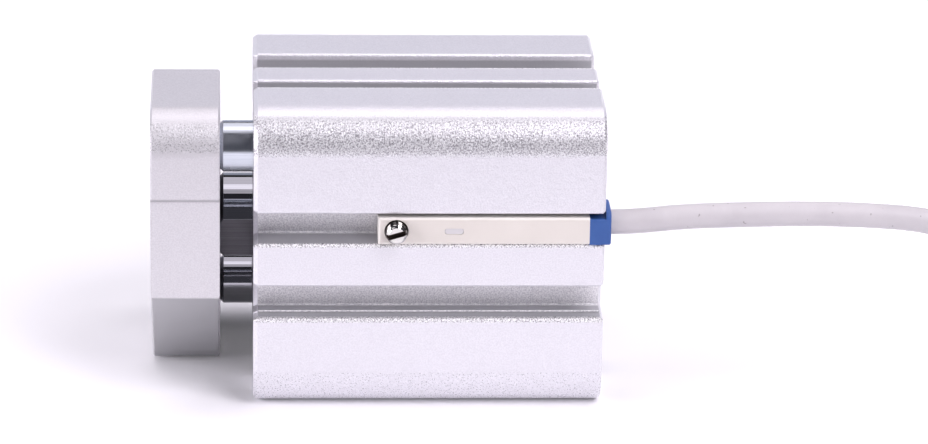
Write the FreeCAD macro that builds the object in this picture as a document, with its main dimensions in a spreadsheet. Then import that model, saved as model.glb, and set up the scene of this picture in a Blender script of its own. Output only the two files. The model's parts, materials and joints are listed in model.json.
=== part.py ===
import FreeCAD, Part
import math
import os
import re
import Sketcher

# Guided compact air cylinder, 20 mm bore and 10 mm stroke, in millimetres.
# +X runs from the tooling plate to the rear end, -Y is the switch side, +Z is up.
# The origin is under the middle of the cylinder, on the surface that it lies on.

Vector = FreeCAD.Vector
Rotation = FreeCAD.Rotation

sizes = {
    # extruded body
    "body_side": 36.0,
    "body_length": 40.7,
    "body_corner": 4.5,
    "body_front_chamfer": 0.34,
    "body_front_bevel": 0.5,
    "body_rear_chamfer": 0.3,
    "slot_offset": 4.52,
    "slot_shift": 0.25,
    "slot_width": 3.78,
    "slot_depth": 4.5,
    "slot_ledge_width": 0.12,
    "slot_ledge_depth": 2.3,
    "slot_lip_radius": 0.36,
    "land_recess": 0.4,
    "hole_edge": 5.25,
    "mount_hole_d": 5.5,
    "mount_bore_d": 9.0,
    "mount_bore_depth": 7.0,
    "guide_bore_d": 8.0,
    "bore_d": 20.0,
    "bore_chamfer": 0.3,
    "port_thread_d": 4.2,
    "port_depth": 5.5,
    "port_orifice_d": 1.6,
    "port_setback": 1.2,
    "cut_margin": 1.0,
    # fits
    "static_fit": 0.02,
    "running_fit": 0.03,
    "free_gap": 0.3,
    # retaining rings
    "ring_recess": 1.0,
    "ring_groove": 1.1,
    "ring_groove_d": 21.4,
    "ring_thickness": 1.0,
    "ring_width": 1.65,
    "ring_room": 0.05,
    "ring_gap_angle": 44.0,
    "ring_lug_d": 2.8,
    "ring_lug_hole_d": 1.2,
    "ring_lug_angle": 6.0,
    # covers at both ends of the bore
    "rod_cover_length": 11.2,
    "rod_cover_flange": 6.2,
    "head_cover_length": 5.2,
    "head_cover_flange": 3.2,
    "cover_nose_d": 16.0,
    "oring_section": 1.2,
    "oring_groove_width": 1.6,
    "oring_groove_depth": 1.3,
    "oring_setback": 0.8,
    "bumper_thickness": 0.6,
    "bumper_inner_d": 11.2,
    "bumper_outer_d": 15.0,
    "rod_bush_length": 6.4,
    "rod_bush_wall": 1.0,
    "rod_seal_length": 3.0,
    "rod_seal_d": 14.8,
    "rod_seal_wall": 1.0,
    "seal_lip": 0.7,
    "seal_vee": 1.2,
    # piston
    "piston_length": 8.8,
    "piston_d": 19.2,
    "piston_land": 0.8,
    "piston_seal_width": 2.0,
    "piston_seal_depth": 2.0,
    "magnet_width": 2.2,
    "magnet_depth": 1.8,
    "wear_ring_width": 1.6,
    "wear_ring_depth": 1.0,
    "piston_seat": 1.5,
    # rods and guide bushes
    "rod_d": 10.0,
    "rod_chamfer": 0.4,
    "rod_flat_width": 8.0,
    "rod_flat_length": 5.0,
    "rod_flat_tilt": 25.0,
    "guide_d": 6.0,
    "guide_end_gap": 2.0,
    "guide_bush_length": 10.0,
    "front_bush_start": 0.6,
    "rear_bush_start": 16.0,
    # tooling plate
    "plate_margin": 0.35,
    "plate_thickness": 8.0,
    "plate_gap": 3.9,
    "plate_corner": 4.8,
    "plate_cut_width": 1.1,
    "plate_cut_height": 4.2,
    "plate_edge": 0.2,
    "plate_recess": 0.3,
    "plate_recess_top": 7.6,
    "plate_recess_edge": 0.22,
    "tool_hole_d": 3.3,
    "tool_hole_circle": 25.0,
    # cap screws
    "screw_edge": 0.3,
    "screw_room": 0.3,
    "rod_screw_d": 4.2,
    "rod_screw_hole_d": 5.4,
    "rod_screw_head_d": 8.5,
    "rod_screw_head": 5.0,
    "rod_screw_socket": 4.0,
    "rod_screw_bite": 8.0,
    "piston_screw_head": 4.0,
    "piston_screw_bite": 6.0,
    "guide_screw_d": 2.5,
    "guide_screw_hole_d": 3.3,
    "guide_screw_head_d": 5.5,
    "guide_screw_head": 3.0,
    "guide_screw_socket": 2.5,
    "guide_screw_bite": 7.0,
    "socket_depth": 1.8,
    "tap_spare": 1.0,
    # position switch
    "switch_start": 14.4,
    "switch_length": 24.5,
    "switch_height": 3.24,
    "switch_depth": 4.05,
    "switch_sink": 0.15,
    "switch_rest": 0.03,
    "switch_edge": 0.35,
    "switch_axis": 1.62,
    "cavity_wall": 0.9,
    "cavity_depth": 2.4,
    "cavity_height": 2.1,
    "cavity_length": 17.5,
    "window_start": 7.7,
    "window_length": 2.2,
    "window_height": 0.72,
    "window_depth": 0.5,
    "window_corner": 0.3,
    "lens_sink": 0.08,
    "boot_length": 2.5,
    "boot_height": 3.09,
    "boot_depth": 4.25,
    "boot_round": 0.25,
    "boot_edge": 0.25,
    "collar_length": 0.6,
    "collar_height": 4.0,
    "collar_depth": 4.6,
    "collar_round": 1.0,
    "boot_plug": 2.0,
    "clamp_screw_d": 2.5,
    "clamp_hole_d": 2.8,
    "clamp_start": 2.11,
    "clamp_stand": 1.1,
    "clamp_chamfer": 0.35,
    "clamp_slot_width": 0.5,
    "clamp_slot_depth": 0.8,
    "clamp_tilt": 19.0,
    "clamp_tip_gap": 0.1,
    "board_length": 12.0,
    "board_thickness": 0.6,
    "board_height": 1.8,
    "sensor_d": 1.2,
    "sensor_length": 8.0,
    "sensor_start": 2.0,
    # cable
    "cable_d": 2.9,
    "cable_exit_depth": 2.0,
    "cable_exit_height": 2.15,
    "core_d": 1.1,
    "coil_columns": 4.0,
    "coil_layers": 5.0,
    "coil_middle_d": 32.0,
    "coil_bevel": 0.8,
    "notch_room": 0.05,
    "tail_notch_length": 7.5,
    "tie_width": 3.0,
    "tie_thickness": 0.8,
    "tie_room": 0.3,
}

doc = FreeCAD.newDocument("GuidedCylinder")
sheet = doc.addObject("Spreadsheet::Sheet", "Sizes")
for row, (name, size) in enumerate(sizes.items(), start=1):
    sheet.set(f"A{row}", name)
    sheet.set(f"B{row}", str(size))
    sheet.setAlias(f"B{row}", name)
doc.recompute()

parts = []

# places along and across the cylinder that several pieces share
front = "(plate_thickness + plate_gap - body_length) / 2"
axis = "body_side / 2"
cover_start = "ring_recess + ring_groove"
head_start = "body_length - ring_recess - ring_groove - head_cover_length"
piston_start = f"{head_start} - bumper_thickness - piston_length"
plate_start = "-plate_gap - plate_thickness"
hole_offset = "(body_side / 2 - hole_edge)"
corners = {"upper": (f"-{hole_offset}", hole_offset), "lower": (hole_offset, f"-{hole_offset}")}
across_x = Rotation(Vector(0, 1, 0), 90)
parallel = 0.999
touching = 0.001


def cells(text):
    return re.sub(r"[a-z]\w*", lambda word: "Sizes." + word[0] if word[0] in sizes else word[0], text)


def value(text):
    return float(sheet.evalExpression(text))


def bind(thing, target, text):
    thing.setExpression(target, cells(text))


def name_part(part, label, along="0", across="0", up="0", turn=Rotation()):
    part.Label = label
    part.Placement = FreeCAD.Placement(Vector(), turn)
    bind(part, "Placement.Base.x", f"{front} + {along}")
    bind(part, "Placement.Base.y", across)
    bind(part, "Placement.Base.z", f"{axis} + {up}")
    parts.append(part)


def new_body(label):
    return doc.addObject("PartDesign::Body", label)


def origin_feature(body, role):
    return next(feature for feature in body.Origin.OriginFeatures if feature.Role == role)


def sketch_on(body, role, offset=None):
    sketch = body.newObject("Sketcher::SketchObject", "Sketch")
    sketch.AttachmentSupport = [(origin_feature(body, role), "")]
    sketch.MapMode = "FlatFace"
    if offset:
        bind(sketch, "AttachmentOffset.Base.z", offset)
    return sketch


def hold_point(sketch, curve, end, across, up):
    for kind, line, text in (("DistanceX", -2, across), ("DistanceY", -1, up)):
        if text == "0":
            sketch.addConstraint(Sketcher.Constraint("PointOnObject", curve, end, line))
            continue
        distance = value(text)
        if distance > 0:
            index = sketch.addConstraint(Sketcher.Constraint(kind, -1, 1, curve, end, distance))
            bind(sketch, f"Constraints[{index}]", text)
        else:
            index = sketch.addConstraint(Sketcher.Constraint(kind, curve, end, -1, 1, -distance))
            bind(sketch, f"Constraints[{index}]", f"-({text})")


def draw_outline(sketch, points):
    spots = [Vector(value(across), value(up), 0) for across, up in points]
    first = sketch.GeometryCount
    for spot, following in zip(spots, spots[1:] + spots[:1]):
        sketch.addGeometry(Part.LineSegment(spot, following), False)
    for number, (across, up) in enumerate(points):
        following = first + (number + 1) % len(points)
        sketch.addConstraint(Sketcher.Constraint("Coincident", first + number, 2, following, 1))
        hold_point(sketch, first + number, 1, across, up)


def draw_box(sketch, left, low, right, high):
    draw_outline(sketch, [(left, low), (right, low), (right, high), (left, high)])


def draw_circle(sketch, across, up, diameter):
    centre = Vector(value(across), value(up), 0)
    curve = sketch.addGeometry(Part.Circle(centre, Vector(0, 0, 1), value(diameter) / 2), False)
    index = sketch.addConstraint(Sketcher.Constraint("Diameter", curve, value(diameter)))
    bind(sketch, f"Constraints[{index}]", diameter)
    hold_point(sketch, curve, 3, across, up)


def pad(body, sketch, length, backwards=False):
    feature = body.newObject("PartDesign::Pad", "Pad")
    feature.Profile = sketch
    feature.Reversed = backwards
    bind(feature, "Length", length)
    doc.recompute()
    return feature


def pocket(body, sketch, depth, backwards=False):
    before = body.Shape.Volume
    feature = body.newObject("PartDesign::Pocket", "Pocket")
    feature.Profile = sketch
    feature.Reversed = backwards
    bind(feature, "Length", depth)
    doc.recompute()
    if body.Shape.Volume >= before:
        raise RuntimeError(f"{body.Name}: a pocket removed nothing")
    return feature


def revolve(body, sketch, line="H_Axis", kind="Revolution"):
    feature = body.newObject("PartDesign::" + kind, kind)
    feature.Profile = sketch
    feature.ReferenceAxis = (sketch, [line])
    feature.Angle = 360
    doc.recompute()
    return feature


def dress(body, kind, base, names, size):
    feature = body.newObject("PartDesign::" + kind, kind)
    feature.Base = (base, names)
    bind(feature, "Radius" if kind == "Fillet" else "Size", size)
    doc.recompute()
    return feature


def pick_edges(feature, test):
    return [f"Edge{n}" for n, edge in enumerate(feature.Shape.Edges, start=1) if test(edge)]


def runs_along(edge, direction):
    if edge.Curve.TypeId != "Part::GeomLine":
        return False
    return abs(edge.tangentAt(edge.FirstParameter) * direction) > parallel


def end_faces(feature):
    ends = []
    for n, face in enumerate(feature.Shape.Faces, start=1):
        if abs(face.normalAt(0, 0).x) > parallel:
            ends.append((face.CenterOfMass.x, f"Face{n}"))
    return [name for along, name in sorted(ends)]


def turned(label, profile, along, across="0", up="0", turn=Rotation()):
    body = new_body(label)
    sketch = sketch_on(body, "XY_Plane")
    draw_outline(sketch, profile)
    revolve(body, sketch)
    name_part(body, label, along, across, up, turn)
    return body


def tube_profile(length, inner_d, outer_d):
    inner = f"{inner_d} / 2"
    outer = f"{outer_d} / 2"
    return [("0", inner), ("0", outer), (length, outer), (length, inner)]


def groove_profile(start, width, outer, depth):
    return [
        (start, outer),
        (start, f"{outer} - {depth}"),
        (f"{start} + {width}", f"{outer} - {depth}"),
        (f"{start} + {width}", outer),
    ]


# Extruded body with paired switch slots, bore, guide bores, bolt holes and air ports
def slot_pair(body):
    outer = "slot_offset + slot_width / 2"
    inner = "slot_offset - slot_width / 2"
    top = "body_side / 2"
    flank = [
        (outer, f"{top} + cut_margin"),
        (outer, f"{top} - slot_ledge_depth"),
        (f"{outer} - slot_ledge_width", f"{top} - slot_ledge_depth"),
        (f"{outer} - slot_ledge_width", f"{top} - slot_depth"),
        (inner, f"{top} - slot_depth"),
        (inner, f"{top} - land_recess"),
    ]
    right = [(f"{across} - slot_shift", up) for across, up in flank]
    left = [(f"-({across}) - slot_shift", up) for across, up in reversed(flank)]
    sketch = sketch_on(body, "YZ_Plane")
    draw_outline(sketch, right + left)
    cut = pocket(body, sketch, "body_length", backwards=True)
    pattern = body.newObject("PartDesign::PolarPattern", "Pattern")
    pattern.Originals = [cut]
    pattern.Axis = (origin_feature(body, "X_Axis"), [""])
    pattern.Angle = 180
    pattern.Occurrences = 3
    body.Tip = pattern
    doc.recompute()

    half = value(top)
    lips = [(value(outer), 0.0), (value(inner), value("land_recess"))]

    def at_lip(edge):
        if not runs_along(edge, Vector(1, 0, 0)):
            return False
        spot = edge.CenterOfMass
        for across, up in ((spot.y, spot.z), (spot.z, -spot.y), (-spot.y, -spot.z)):
            reach = abs(across + value("slot_shift"))
            for lip_reach, lip_depth in lips:
                if abs(reach - lip_reach) < touching and abs(half - up - lip_depth) < touching:
                    return True
        return False

    dress(body, "Fillet", pattern, pick_edges(pattern, at_lip), "slot_lip_radius")


def bore_profile():
    bore = "bore_d / 2"
    flare = f"{bore} + bore_chamfer"
    groove = "ring_groove_d / 2"
    half = [("0", "0"), ("0", flare), ("bore_chamfer", bore), ("ring_recess", bore)]
    half += [("ring_recess", groove), (cover_start, groove), (cover_start, bore)]
    rear = [(f"body_length - ({along})", up) for along, up in reversed(half[1:])]
    return half + rear + [("body_length", "0")]


def make_cylinder_body():
    body = new_body("cylinder_body")
    half = "body_side / 2"
    sketch = sketch_on(body, "YZ_Plane")
    draw_box(sketch, f"-{half}", f"-{half}", half, half)
    block = pad(body, sketch, "body_length")
    long_edges = pick_edges(block, lambda edge: runs_along(edge, Vector(1, 0, 0)))
    dress(body, "Fillet", block, long_edges, "body_corner")
    slot_pair(body)
    slotted = body.Tip
    fronted = dress(body, "Chamfer", slotted, end_faces(slotted)[:1], "body_front_chamfer")
    fronted.ChamferType = "Two distances"
    bind(fronted, "Size2", "body_front_bevel")
    doc.recompute()
    dress(body, "Chamfer", fronted, end_faces(fronted)[1:], "body_rear_chamfer")

    sketch = sketch_on(body, "XY_Plane")
    draw_outline(sketch, bore_profile())
    revolve(body, sketch, kind="Groove")

    bolt_corners = [(f"-{hole_offset}", f"-{hole_offset}"), (hole_offset, hole_offset)]
    sketch = sketch_on(body, "YZ_Plane")
    for across, up in corners.values():
        draw_circle(sketch, across, up, "guide_bore_d")
    for across, up in bolt_corners:
        draw_circle(sketch, across, up, "mount_hole_d")
    pocket(body, sketch, "body_length", backwards=True)
    for offset, backwards in ((None, True), ("body_length", False)):
        sketch = sketch_on(body, "YZ_Plane", offset)
        for across, up in bolt_corners:
            draw_circle(sketch, across, up, "mount_bore_d")
        pocket(body, sketch, "mount_bore_depth", backwards)

    ports = [f"{cover_start} + rod_cover_length - port_setback", f"{head_start} + port_setback"]
    for offset, diameter, depth, backwards in (
        ("-bore_d / 4", "port_orifice_d", "body_side / 2", False),
        ("-body_side / 2", "port_thread_d", "port_depth", True),
    ):
        sketch = sketch_on(body, "XZ_Plane", offset)
        for along in ports:
            draw_circle(sketch, along, "0", diameter)
        pocket(body, sketch, depth, backwards)
    name_part(body, "cylinder_body", "0")


# Covers, seals, bushes and rings that close the bore
def make_rod_cover():
    outer = "bore_d / 2 - static_fit"
    seal = "rod_seal_d / 2"
    seat = "rod_d / 2 + running_fit + rod_bush_wall + static_fit"
    clear = "rod_d / 2 + free_gap"
    seat_start = "rod_cover_length - rod_bush_length"
    profile = [("0", clear), ("0", outer)]
    profile += groove_profile("oring_setback", "oring_groove_width", outer, "oring_groove_depth")
    profile += [
        ("rod_cover_flange", outer),
        ("rod_cover_flange", "cover_nose_d / 2"),
        ("rod_cover_length", "cover_nose_d / 2"),
        ("rod_cover_length", seat),
        (seat_start, seat),
        (seat_start, clear),
        ("rod_seal_wall + rod_seal_length", clear),
        ("rod_seal_wall + rod_seal_length", seal),
        ("rod_seal_wall", seal),
        ("rod_seal_wall", clear),
    ]
    turned("rod_cover", profile, cover_start)

    inner = "rod_d / 2 + running_fit"
    turned(
        "rod_bush",
        tube_profile("rod_bush_length", "(rod_d + 2 * running_fit)", f"2 * ({inner} + rod_bush_wall)"),
        f"{cover_start} + {seat_start}",
    )
    rim = "rod_seal_d / 2 - static_fit"
    seal_lips = [
        ("0", inner),
        ("0", rim),
        ("rod_seal_length", rim),
        ("rod_seal_length", f"{rim} - seal_lip"),
        ("rod_seal_length - seal_vee", f"({rim} + {inner}) / 2"),
        ("rod_seal_length", f"{inner} + seal_lip"),
        ("rod_seal_length", inner),
    ]
    turned("rod_seal", seal_lips, f"{cover_start} + rod_seal_wall")


def make_head_cover():
    outer = "bore_d / 2 - static_fit"
    nose = "head_cover_length - head_cover_flange"
    profile = [("0", "0"), ("0", "cover_nose_d / 2"), (nose, "cover_nose_d / 2"), (nose, outer)]
    groove_start = "head_cover_length - oring_setback - oring_groove_width"
    profile += groove_profile(groove_start, "oring_groove_width", outer, "oring_groove_depth")
    profile += [("head_cover_length", outer), ("head_cover_length", "0")]
    turned("head_cover", profile, head_start)


def make_oring(label, along):
    ring = doc.addObject("Part::Torus", label)
    bind(ring, "Radius1", "bore_d / 2 - static_fit - oring_groove_depth / 2")
    bind(ring, "Radius2", "oring_section / 2")
    name_part(ring, label, along, turn=across_x)


def make_retaining_ring(label, along):
    body = new_body(label)
    outer = "ring_groove_d / 2 - ring_room"
    inner = f"({outer} - ring_width)"
    sketch = sketch_on(body, "XY_Plane")
    draw_outline(sketch, [("0", inner), ("0", outer), ("ring_thickness", outer), ("ring_thickness", inner)])
    hoop = body.newObject("PartDesign::Revolution", "Hoop")
    hoop.Profile = sketch
    hoop.ReferenceAxis = (sketch, ["H_Axis"])
    hoop.Midplane = True
    bind(hoop, "Angle", "360 - ring_gap_angle")
    doc.recompute()
    swing = "(ring_gap_angle / 2 + ring_lug_angle)"
    for feature, diameter in ((pad, "ring_lug_d"), (pocket, "ring_lug_hole_d")):
        sketch = sketch_on(body, "YZ_Plane")
        for side in ("", "-"):
            draw_circle(sketch, f"-{inner} * cos({swing})", f"{side}{inner} * sin({swing})", diameter)
        feature(body, sketch, "ring_thickness", feature is pocket)
    name_part(body, label, along, turn=Rotation(Vector(1, 0, 0), 90))


def make_bumper(label, along):
    turned(label, tube_profile("bumper_thickness", "bumper_inner_d", "bumper_outer_d"), along)


def make_guide_bushes():
    inner = "(guide_d + 2 * running_fit)"
    outer = "(guide_bore_d - 2 * static_fit)"
    for corner, (across, up) in corners.items():
        for end in ("front", "rear"):
            label = f"{corner}_{end}_bush"
            turned(label, tube_profile("guide_bush_length", inner, outer), f"{end}_bush_start", across, up)


# Piston with its magnet, seal and wear ring
def make_piston():
    outer = "piston_d / 2"
    seal_start = "piston_land"
    magnet_start = "2 * piston_land + piston_seal_width"
    wear_start = "3 * piston_land + piston_seal_width + magnet_width"
    seat = "rod_d / 2 + static_fit"
    hole = "rod_screw_hole_d / 2"
    counterbore = "rod_screw_head_d / 2 + screw_room"
    head_seat = "piston_length - piston_screw_head - screw_room"
    profile = [("0", seat), ("0", outer)]
    profile += groove_profile(seal_start, "piston_seal_width", outer, "piston_seal_depth")
    profile += groove_profile(magnet_start, "magnet_width", outer, "magnet_depth")
    profile += groove_profile(wear_start, "wear_ring_width", outer, "wear_ring_depth")
    profile += [
        ("piston_length", outer),
        ("piston_length", counterbore),
        (head_seat, counterbore),
        (head_seat, hole),
        ("piston_seat", hole),
        ("piston_seat", seat),
    ]
    turned("piston", profile, piston_start)

    running = "(bore_d - 2 * running_fit)"
    floor = "(piston_d - 2 * {} + 2 * static_fit)"
    magnet = tube_profile("magnet_width", floor.format("magnet_depth"), "piston_d")
    turned("magnet_ring", magnet, f"{piston_start} + {magnet_start}")
    wear = tube_profile("wear_ring_width", floor.format("wear_ring_depth"), running)
    turned("wear_ring", wear, f"{piston_start} + {wear_start}")
    rim = f"{running} / 2"
    heel = f"{floor.format('piston_seal_depth')} / 2"
    lips = [
        ("0", heel),
        ("0", f"{heel} + seal_lip"),
        ("seal_vee", f"({heel} + {rim}) / 2"),
        ("0", f"{rim} - seal_lip"),
        ("0", rim),
        ("piston_seal_width", rim),
        ("piston_seal_width", heel),
    ]
    turned("piston_seal", lips, f"{piston_start} + {seal_start}")


# Rods, each tapped for the screws that hold it
def rod_profile(length, diameter, tap, front_depth, rear_depth=None):
    rim = f"{diameter} / 2"
    profile = [
        (front_depth, "0"),
        (front_depth, f"{tap} / 2"),
        ("0", f"{tap} / 2"),
        ("0", f"{rim} - rod_chamfer"),
        ("rod_chamfer", rim),
        (f"{length} - rod_chamfer", rim),
        (length, f"{rim} - rod_chamfer"),
    ]
    if rear_depth:
        foot = f"{length} - ({rear_depth})"
        profile += [(length, f"{tap} / 2"), (foot, f"{tap} / 2"), (foot, "0")]
    else:
        profile += [(length, "0")]
    return profile


def make_rods():
    tap = "(rod_screw_d + 2 * static_fit)"
    length = f"plate_gap + {piston_start} + piston_seat"
    depths = ("rod_screw_bite + tap_spare", "piston_screw_bite + tap_spare")
    rod = turned("piston_rod", rod_profile(length, "rod_d", tap, *depths), "-plate_gap")
    sketch = sketch_on(rod, "YZ_Plane")
    bind(sketch, "AttachmentOffset.Rotation.Angle", "rod_flat_tilt")
    reach = "rod_d / 2 + cut_margin"
    draw_box(sketch, "rod_flat_width / 2", f"-({reach})", reach, reach)
    draw_box(sketch, f"-({reach})", f"-({reach})", "-rod_flat_width / 2", reach)
    pocket(rod, sketch, "rod_flat_length", backwards=True)
    tap = "(guide_screw_d + 2 * static_fit)"
    length = "plate_gap + body_length - guide_end_gap"
    for corner, (across, up) in corners.items():
        profile = rod_profile(length, "guide_d", tap, "guide_screw_bite + tap_spare")
        turned(f"{corner}_guide_rod", profile, "-plate_gap", across, up)


# Tooling plate: two corners rounded, two cut off beside the bolt holes
def make_tooling_plate():
    body = new_body("tooling_plate")
    half = "(body_side / 2 - plate_margin)"
    sketch = sketch_on(body, "YZ_Plane")
    side = [(f"-{half}", half), ("plate_cut_width", half), (half, "plate_cut_height")]
    turned_side = [(f"-({across})", f"-({up})") for across, up in side]
    draw_outline(sketch, side + turned_side)
    block = pad(body, sketch, "plate_thickness")
    corner = value(half) - touching

    def at_round_corner(edge):
        spot = edge.CenterOfMass
        return runs_along(edge, Vector(1, 0, 0)) and min(abs(spot.y), abs(spot.z)) > corner

    rounded = dress(body, "Fillet", block, pick_edges(block, at_round_corner), "plate_corner")
    dress(body, "Chamfer", rounded, end_faces(rounded), "plate_edge")

    sketch = sketch_on(body, "YZ_Plane")
    draw_box(sketch, f"-{half} - cut_margin", f"-{half}", f"-{half} + plate_recess", "plate_recess_top")
    step = pocket(body, sketch, "plate_thickness", backwards=True)
    pattern = body.newObject("PartDesign::PolarPattern", "Pattern")
    pattern.Originals = [step]
    pattern.Axis = (origin_feature(body, "X_Axis"), [""])
    pattern.Angle = 360
    pattern.Occurrences = 2
    body.Tip = pattern
    doc.recompute()
    step_top = value("plate_recess_top")

    def at_recess_edge(edge):
        spot = edge.CenterOfMass
        if abs(spot.y) < corner or abs(abs(spot.z) - step_top) > touching:
            return False
        return runs_along(edge, Vector(1, 0, 0))

    dress(body, "Fillet", pattern, pick_edges(pattern, at_recess_edge), "plate_recess_edge")

    radius = "tool_hole_circle / 2"
    through = [("0", "0", "rod_screw_hole_d")]
    through += [(across, up, "guide_screw_hole_d") for across, up in corners.values()]
    through += [(radius, "0", "tool_hole_d"), (f"-{radius}", "0", "tool_hole_d")]
    through += [("0", radius, "tool_hole_d"), ("0", f"-{radius}", "tool_hole_d")]
    sketch = sketch_on(body, "YZ_Plane")
    for hole in through:
        draw_circle(sketch, *hole)
    pocket(body, sketch, "plate_thickness", backwards=True)
    sketch = sketch_on(body, "YZ_Plane")
    draw_circle(sketch, "0", "0", "rod_screw_head_d + 2 * screw_room")
    pocket(body, sketch, "rod_screw_head + screw_room", backwards=True)
    sketch = sketch_on(body, "YZ_Plane")
    for across, up in corners.values():
        draw_circle(sketch, across, up, "guide_screw_head_d + 2 * screw_room")
    pocket(body, sketch, "guide_screw_head + screw_room", backwards=True)
    name_part(body, "tooling_plate", plate_start)


# Socket head cap screws, head first along X
def make_cap_screw(label, head_d, head, shank_d, length, socket, along, across="0", up="0", turn=Rotation()):
    rim = f"{head_d} / 2"
    shank = f"{shank_d} / 2"
    tip = f"{head} + {length}"
    profile = [
        ("0", "0"),
        ("0", f"{rim} - screw_edge"),
        ("screw_edge", rim),
        (head, rim),
        (head, shank),
        (f"{tip} - screw_edge", shank),
        (tip, f"{shank} - screw_edge"),
        (tip, "0"),
    ]
    body = turned(label, profile, along, across, up, turn)
    point = f"{socket} / sqrt(3)"
    flat = f"{socket} / 2"
    hexagon = [("0", point), (flat, f"{point} / 2"), (flat, f"-{point} / 2")]
    hexagon += [("0", f"-{point}"), (f"-{flat}", f"-{point} / 2"), (f"-{flat}", f"{point} / 2")]
    sketch = sketch_on(body, "YZ_Plane")
    draw_outline(sketch, hexagon)
    pocket(body, sketch, "socket_depth", backwards=True)


def make_cap_screws():
    rod_grip = "plate_thickness - rod_screw_head - screw_room"
    make_cap_screw(
        "rod_screw", "rod_screw_head_d", "rod_screw_head", "rod_screw_d", f"{rod_grip} + rod_screw_bite",
        "rod_screw_socket", f"{plate_start} + screw_room",
    )
    guide_grip = "plate_thickness - guide_screw_head - screw_room"
    for corner, (across, up) in corners.items():
        make_cap_screw(
            f"{corner}_guide_screw", "guide_screw_head_d", "guide_screw_head", "guide_screw_d",
            f"{guide_grip} + guide_screw_bite", "guide_screw_socket", f"{plate_start} + screw_room",
            across, up,
        )
    web = "piston_length - piston_screw_head - screw_room - piston_seat"
    make_cap_screw(
        "piston_screw", "rod_screw_head_d", "piston_screw_head", "rod_screw_d", f"{web} + piston_screw_bite",
        "rod_screw_socket", f"{piston_start} + piston_length - screw_room",
        turn=Rotation(Vector(0, 0, 1), 180),
    )


# Position switch in the upper slot of the -Y face
switch_face = "-body_side / 2 + switch_sink"
switch_floor = "slot_offset - slot_shift - slot_width / 2 + switch_rest"


def place_switch_piece(body, label, along="0", across="0", up="0", turn=Rotation()):
    name_part(
        body, label, f"switch_start + {along}", f"{switch_face} + {across}", f"{switch_floor} + {up}", turn,
    )


def make_switch_housing():
    body = new_body("switch_housing")
    sketch = sketch_on(body, "YZ_Plane")
    draw_box(sketch, "0", "0", "switch_depth", "switch_height")
    block = pad(body, sketch, "switch_length")
    far_end = value("switch_length") / 2

    def at_front_rim(edge):
        spot = edge.CenterOfMass
        return abs(spot.y) < touching and spot.x < far_end + touching

    dress(body, "Fillet", block, pick_edges(block, at_front_rim), "switch_edge")
    sketch = sketch_on(body, "XZ_Plane")
    draw_circle(sketch, "clamp_start", "switch_axis", "clamp_hole_d")
    pocket(body, sketch, "switch_depth")

    sketch = sketch_on(body, "XZ_Plane")
    draw_box(
        sketch, "window_start", "switch_axis - window_height / 2", "window_start + window_length",
        "switch_axis + window_height / 2",
    )
    window = pocket(body, sketch, "window_depth")
    left = value("window_start") - touching
    right = value("window_start + window_length") + touching

    def at_window_corner(edge):
        return runs_along(edge, Vector(0, 1, 0)) and left < edge.CenterOfMass.x < right

    dress(body, "Fillet", window, pick_edges(window, at_window_corner), "window_corner")

    sketch = sketch_on(body, "YZ_Plane", "switch_length")
    low = "(switch_height - cavity_height) / 2"
    draw_box(sketch, "cavity_wall", low, "cavity_wall + cavity_depth", f"{low} + cavity_height")
    pocket(body, sketch, "cavity_length")
    place_switch_piece(body, "switch_housing")


def make_switch_lens():
    body = new_body("switch_lens")
    sketch = sketch_on(body, "XZ_Plane")
    draw_box(sketch, "static_fit", "static_fit", "window_length - static_fit", "window_height - static_fit")
    block = pad(body, sketch, "window_depth - lens_sink", backwards=True)
    upright = pick_edges(block, lambda edge: runs_along(edge, Vector(0, 1, 0)))
    dress(body, "Fillet", block, upright, "window_corner")
    place_switch_piece(body, "switch_lens", "window_start", "lens_sink", "switch_axis - window_height / 2")


def make_switch_boot():
    body = new_body("switch_boot")
    neck = "boot_length - collar_length"

    def round_top_front(block, height, radius):
        top = value(height) - touching

        def at_top_front(edge):
            spot = edge.CenterOfMass
            return runs_along(edge, Vector(1, 0, 0)) and abs(spot.y) < touching and spot.z > top

        return dress(body, "Fillet", block, pick_edges(block, at_top_front), radius)

    sketch = sketch_on(body, "YZ_Plane")
    draw_box(sketch, "0", "0", "boot_depth", "boot_height")
    round_top_front(pad(body, sketch, neck), "boot_height", "boot_round")
    sketch = sketch_on(body, "YZ_Plane", neck)
    draw_box(sketch, "0", "0", "collar_depth", "collar_height")
    collar = round_top_front(pad(body, sketch, "collar_length"), "collar_height", "collar_round")
    end = value("boot_length") - touching
    rim = pick_edges(collar, lambda edge: edge.CenterOfMass.x > end)
    dress(body, "Fillet", collar, rim, "boot_edge")
    sketch = sketch_on(body, "YZ_Plane")
    low = "(switch_height - cavity_height) / 2"
    draw_box(
        sketch, "cavity_wall + static_fit", f"{low} + static_fit", "cavity_wall + cavity_depth - static_fit",
        f"{low} + cavity_height - static_fit",
    )
    pad(body, sketch, "boot_plug", backwards=True)
    place_switch_piece(body, "switch_boot", "switch_length")


def make_sensor_board():
    board = doc.addObject("Part::Box", "Board")
    bind(board, "Length", "board_length")
    bind(board, "Width", "board_thickness")
    bind(board, "Height", "board_height")
    sensor = doc.addObject("Part::Cylinder", "Sensor")
    sensor.Placement = FreeCAD.Placement(Vector(), across_x)
    bind(sensor, "Radius", "sensor_d / 2")
    bind(sensor, "Height", "sensor_length")
    bind(sensor, "Placement.Base.x", "sensor_start")
    bind(sensor, "Placement.Base.z", "board_height / 2")
    whole = doc.addObject("Part::Fuse", "sensor_board")
    whole.Base = board
    whole.Tool = sensor
    doc.recompute()
    place_switch_piece(
        whole, "sensor_board", "switch_length - cavity_length + free_gap",
        "cavity_wall + cavity_depth - board_thickness - static_fit", "(switch_height - board_height) / 2",
    )


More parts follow.
